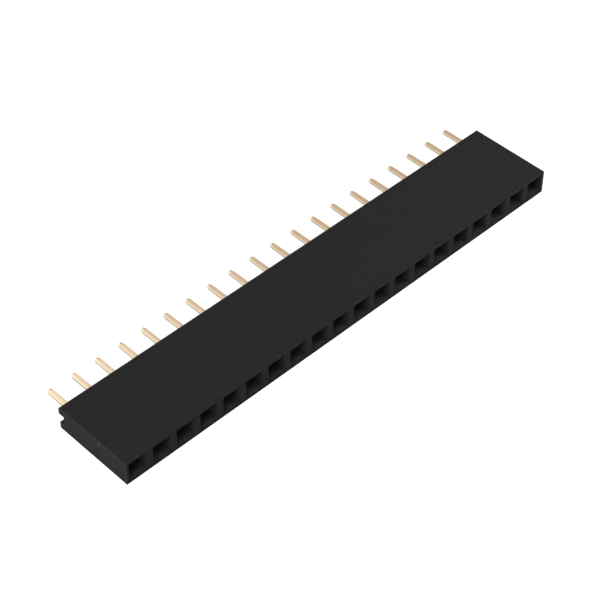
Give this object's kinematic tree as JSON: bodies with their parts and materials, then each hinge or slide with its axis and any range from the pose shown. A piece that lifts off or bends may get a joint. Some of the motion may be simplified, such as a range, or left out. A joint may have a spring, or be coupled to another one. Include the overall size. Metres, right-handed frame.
{
  "type": "female pin header strip",
  "caption": "Single-row female pin header: a slim moulded housing with square sockets in one long edge and flat solder tails on the other.",
  "frame": {"origin": "middle of the strip's lower broad side, at the bottom centre of the box around housing and tails", "axes": "+X along the row, +Y out of the board side along the tails, +Z through the thickness, upwards as it lies"},
  "size_m": [0.0508, 0.0116, 0.0025],
  "materials": {
    "housing": "fine moulded texture",
    "contact": "thin gold plating, satin"
  },
  "bodies": {
    "root": {"housing": "housing", "contact_01": "contact", "contact_02": "contact", "contact_03": "contact", "contact_04": "contact", "contact_05": "contact", "contact_06": "contact", "contact_07": "contact", "contact_08": "contact", "contact_09": "contact", "contact_10": "contact", "contact_11": "contact", "contact_12": "contact", "contact_13": "contact", "contact_14": "contact", "contact_15": "contact", "contact_16": "contact", "contact_17": "contact", "contact_18": "contact", "contact_19": "contact", "contact_20": "contact"}
  },
  "joints": []
}
